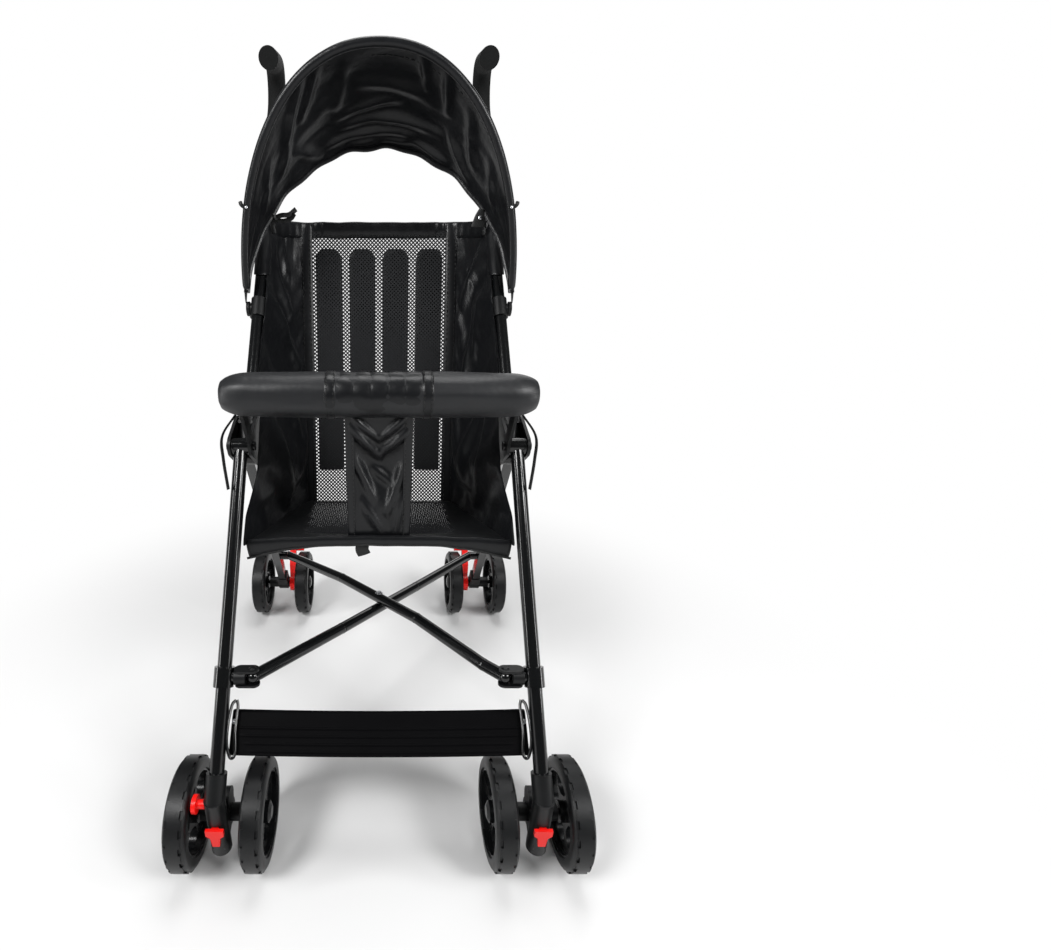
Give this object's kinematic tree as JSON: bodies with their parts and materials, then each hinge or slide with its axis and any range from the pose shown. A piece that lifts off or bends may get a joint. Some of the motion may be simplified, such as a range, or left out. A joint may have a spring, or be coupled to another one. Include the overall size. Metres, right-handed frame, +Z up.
{
  "type": "umbrella stroller",
  "caption": "Folding umbrella stroller with hook handles, sling seat, padded bumper, sun hood, twin-wheel casters and foot brakes.",
  "frame": {"origin": "on the floor, in the middle between the front and rear axle lines and between the two sides", "axes": "+X to the right of someone facing the front, +Y towards the handles, +Z up"},
  "size_m": [0.54, 0.688, 0.9977],
  "materials": {
    "tyre": "matte",
    "rim": "satin",
    "tube": "gloss",
    "leg": "gloss",
    "foam": "matte",
    "red_plastic": "gloss",
    "bright_metal": "polished",
    "seat_cloth": "satin",
    "hood_cloth": "satin",
    "bumper_cloth": "satin",
    "footrest_sheet": "satin",
    "black_plastic": "satin"
  },
  "bodies": {
    "seat": {"seat_cloth": "seat_cloth", "crotch_strap": "seat_cloth"},
    "side_l": {"push_tube_l": "tube", "grip_l": "foam", "bracket_l": "black_plastic", "pivot_bolts_l": "bright_metal", "hood_clip_l": "black_plastic", "hood_hub_l": "black_plastic", "bumper_strap_l": "bumper_cloth"},
    "side_r": {"push_tube_r": "tube", "grip_r": "foam", "bracket_r": "black_plastic", "pivot_bolts_r": "bright_metal", "hood_clip_r": "black_plastic", "hood_hub_r": "black_plastic", "bumper_strap_r": "bumper_cloth"},
    "front_leg_l": {"front_leg_l": "tube", "front_socket_l": "black_plastic", "footrest": "footrest_sheet"},
    "rear_leg_l": {"rear_leg_l": "leg", "rear_foot_l": "black_plastic"},
    "bumper_l": {"bumper_arm_l": "black_plastic", "bumper_pad_l": "bumper_cloth"},
    "front_leg_r": {"front_leg_r": "tube", "front_socket_r": "black_plastic"},
    "rear_leg_r": {"rear_leg_r": "leg", "rear_foot_r": "black_plastic"},
    "bumper_r": {"bumper_arm_r": "black_plastic", "bumper_pad_r": "bumper_cloth"},
    "knuckle_l": {"cross_knuckle_l": "black_plastic"},
    "cross_r": {"cross_tube_r": "tube"},
    "knuckle_r": {"cross_knuckle_r": "black_plastic"},
    "cross_l": {"cross_tube_l": "tube", "cross_bolt": "bright_metal"},
    "caster_l": {"front_fork_l": "black_plastic"},
    "wheel_front_l_out": {"tyre_front_l_out": "tyre", "rim_front_l_out": "rim"},
    "wheel_rear_l_out": {"tyre_rear_l_out": "tyre", "rim_rear_l_out": "rim"},
    "wheel_front_l_in": {"tyre_front_l_in": "tyre", "rim_front_l_in": "rim"},
    "wheel_rear_l_in": {"tyre_rear_l_in": "tyre", "rim_rear_l_in": "rim"},
    "release_l": {"release_tab_l": "red_plastic"},
    "pedal_l": {"brake_pedal_l": "red_plastic"},
    "caster_r": {"front_fork_r": "black_plastic"},
    "wheel_front_r_out": {"tyre_front_r_out": "tyre", "rim_front_r_out": "rim"},
    "wheel_rear_r_out": {"tyre_rear_r_out": "tyre", "rim_rear_r_out": "rim"},
    "wheel_front_r_in": {"tyre_front_r_in": "tyre", "rim_front_r_in": "rim"},
    "wheel_rear_r_in": {"tyre_rear_r_in": "tyre", "rim_rear_r_in": "rim"},
    "release_r": {"release_tab_r": "red_plastic"},
    "pedal_r": {"brake_pedal_r": "red_plastic"},
    "knob_l": {"swivel_knob_l": "red_plastic"},
    "hood": {"hood_cloth": "hood_cloth", "hood_bow": "black_plastic"},
    "catch": {"storage_catch": "red_plastic"}
  },
  "joints": [
    {"name": "fold", "type": "slide", "parent": "seat", "child": "side_l", "axis": [1, 0, 0], "range_m": [0, 0.116], "deforming": ["seat_cloth", "crotch_strap", "hood_cloth", "hood_bow", "footrest", "bumper_pad_l", "bumper_pad_r", "bumper_strap_l", "bumper_strap_r"]},
    {"name": "side_r_fold", "type": "slide", "parent": "seat", "child": "side_r", "axis": [-1, 0, 0], "range_m": [0, 0.116]},
    {"name": "front_leg_l_fold", "type": "hinge", "parent": "side_l", "child": "front_leg_l", "pos_m": [-0.18107, -0.07549, 0.49486], "axis": [-1, 0, 0], "range_deg": [0, 164.54]},
    {"name": "rear_leg_l_fold", "type": "hinge", "parent": "side_l", "child": "rear_leg_l", "pos_m": [-0.18107, -0.03416, 0.466], "axis": [-1, 0, 0], "range_deg": [0, 72.84]},
    {"name": "bumper_l_fold", "type": "hinge", "parent": "side_l", "child": "bumper_l", "pos_m": [-0.15767, -0.118, 0.572], "axis": [0, -0.9135, 0.4067], "range_deg": [0, 90.02]},
    {"name": "front_leg_r_fold", "type": "hinge", "parent": "side_r", "child": "front_leg_r", "pos_m": [0.18107, -0.07549, 0.49486], "axis": [-1, 0, 0], "range_deg": [0, 164.54]},
    {"name": "rear_leg_r_fold", "type": "hinge", "parent": "side_r", "child": "rear_leg_r", "pos_m": [0.18107, -0.03416, 0.466], "axis": [-1, 0, 0], "range_deg": [0, 72.84]},
    {"name": "bumper_r_fold", "type": "hinge", "parent": "side_r", "child": "bumper_r", "pos_m": [0.15767, -0.118, 0.572], "axis": [0, 0.9135, -0.4067], "range_deg": [0, 90.02]},
    {"name": "cross_knuckle_l_fold", "type": "hinge", "parent": "front_leg_l", "child": "knuckle_l", "pos_m": [-0.17235, -0.22847, 0.245], "axis": [1, 0, 0], "range_deg": [0, 60.84]},
    {"name": "cross_r_scissor", "type": "hinge", "parent": "knuckle_l", "child": "cross_r", "pos_m": [-0.15625, -0.22847, 0.245], "axis": [0, 0.1436, 0.9896], "range_deg": [0, 29.5]},
    {"name": "cross_knuckle_r_fold", "type": "hinge", "parent": "front_leg_r", "child": "knuckle_r", "pos_m": [0.17235, -0.22847, 0.245], "axis": [1, 0, 0], "range_deg": [0, 60.84]},
    {"name": "cross_l_scissor", "type": "hinge", "parent": "knuckle_r", "child": "cross_l", "pos_m": [0.15625, -0.22847, 0.245], "axis": [0, -0.1436, -0.9896], "range_deg": [0, 29.5]},
    {"name": "caster_l_swivel", "type": "hinge", "parent": "front_leg_l", "child": "caster_l", "pos_m": [-0.198, -0.305, 0.08], "axis": [0, 0, 1], "continuous": true},
    {"name": "wheel_front_l_out_spin", "type": "hinge", "parent": "caster_l", "child": "wheel_front_l_out", "pos_m": [-0.243, -0.277, 0.067], "axis": [1, 0, 0], "continuous": true},
    {"name": "wheel_rear_l_out_spin", "type": "hinge", "parent": "rear_leg_l", "child": "wheel_rear_l_out", "pos_m": [-0.255, 0.277, 0.067], "axis": [1, 0, 0], "continuous": true},
    {"name": "wheel_front_l_in_spin", "type": "hinge", "parent": "caster_l", "child": "wheel_front_l_in", "pos_m": [-0.153, -0.277, 0.067], "axis": [1, 0, 0], "continuous": true},
    {"name": "wheel_rear_l_in_spin", "type": "hinge", "parent": "rear_leg_l", "child": "wheel_rear_l_in", "pos_m": [-0.165, 0.277, 0.067], "axis": [1, 0, 0], "continuous": true},
    {"name": "release_l_press", "type": "slide", "parent": "caster_l", "child": "release_l", "axis": [0, 0, -1], "range_m": [0, 0.004], "stiffness_N_per_m": 500, "springref_m": -0.002},
    {"name": "brake_l_press", "type": "hinge", "parent": "rear_leg_l", "child": "pedal_l", "pos_m": [-0.193, 0.277, 0.067], "axis": [-1, 0, 0], "range_deg": [0, 22]},
    {"name": "caster_r_swivel", "type": "hinge", "parent": "front_leg_r", "child": "caster_r", "pos_m": [0.198, -0.305, 0.08], "axis": [0, 0, 1], "continuous": true},
    {"name": "wheel_front_r_out_spin", "type": "hinge", "parent": "caster_r", "child": "wheel_front_r_out", "pos_m": [0.243, -0.277, 0.067], "axis": [1, 0, 0], "continuous": true},
    {"name": "wheel_rear_r_out_spin", "type": "hinge", "parent": "rear_leg_r", "child": "wheel_rear_r_out", "pos_m": [0.255, 0.277, 0.067], "axis": [1, 0, 0], "continuous": true},
    {"name": "wheel_front_r_in_spin", "type": "hinge", "parent": "caster_r", "child": "wheel_front_r_in", "pos_m": [0.153, -0.277, 0.067], "axis": [1, 0, 0], "continuous": true},
    {"name": "wheel_rear_r_in_spin", "type": "hinge", "parent": "rear_leg_r", "child": "wheel_rear_r_in", "pos_m": [0.165, 0.277, 0.067], "axis": [1, 0, 0], "continuous": true},
    {"name": "release_r_press", "type": "slide", "parent": "caster_r", "child": "release_r", "axis": [0, 0, -1], "range_m": [0, 0.004], "stiffness_N_per_m": 500, "springref_m": -0.002},
    {"name": "brake_r_press", "type": "hinge", "parent": "rear_leg_r", "child": "pedal_r", "pos_m": [0.193, 0.277, 0.067], "axis": [-1, 0, 0], "range_deg": [0, 22]},
    {"name": "swivel_lock_push", "type": "slide", "parent": "front_leg_l", "child": "knob_l", "axis": [1, 0, 0], "range_m": [0, 0.0035], "stiffness_N_per_m": 500, "springref_m": -0.002},
    {"name": "hood_tilt", "type": "hinge", "parent": "seat", "child": "hood", "pos_m": [0, 0.06778, 0.655], "axis": [1, 0, 0], "range_deg": [0, 20]},
    {"name": "storage_catch_swing", "type": "hinge", "parent": "side_l", "child": "catch", "pos_m": [-0.16621, 0.15536, 0.80343], "axis": [0, 0.8205, -0.5717], "range_deg": [0, 44]}
  ],
  "couplings": [
    {"joint": "side_r_fold", "follows": "fold", "ratio": 1},
    {"joint": "front_leg_l_fold", "follows": "fold", "rad_per_m": 24.754},
    {"joint": "rear_leg_l_fold", "follows": "fold", "rad_per_m": 10.956},
    {"joint": "bumper_l_fold", "follows": "fold", "rad_per_m": 13.541},
    {"joint": "front_leg_r_fold", "follows": "fold", "rad_per_m": 24.754},
    {"joint": "rear_leg_r_fold", "follows": "fold", "rad_per_m": 10.956},
    {"joint": "bumper_r_fold", "follows": "fold", "rad_per_m": 13.541},
    {"joint": "cross_knuckle_l_fold", "follows": "fold", "rad_per_m": 9.1503},
    {"joint": "cross_r_scissor", "follows": "fold", "rad_per_m": 4.4361},
    {"joint": "cross_knuckle_r_fold", "follows": "fold", "rad_per_m": 9.1503},
    {"joint": "cross_l_scissor", "follows": "fold", "rad_per_m": 4.4361}
  ]
}
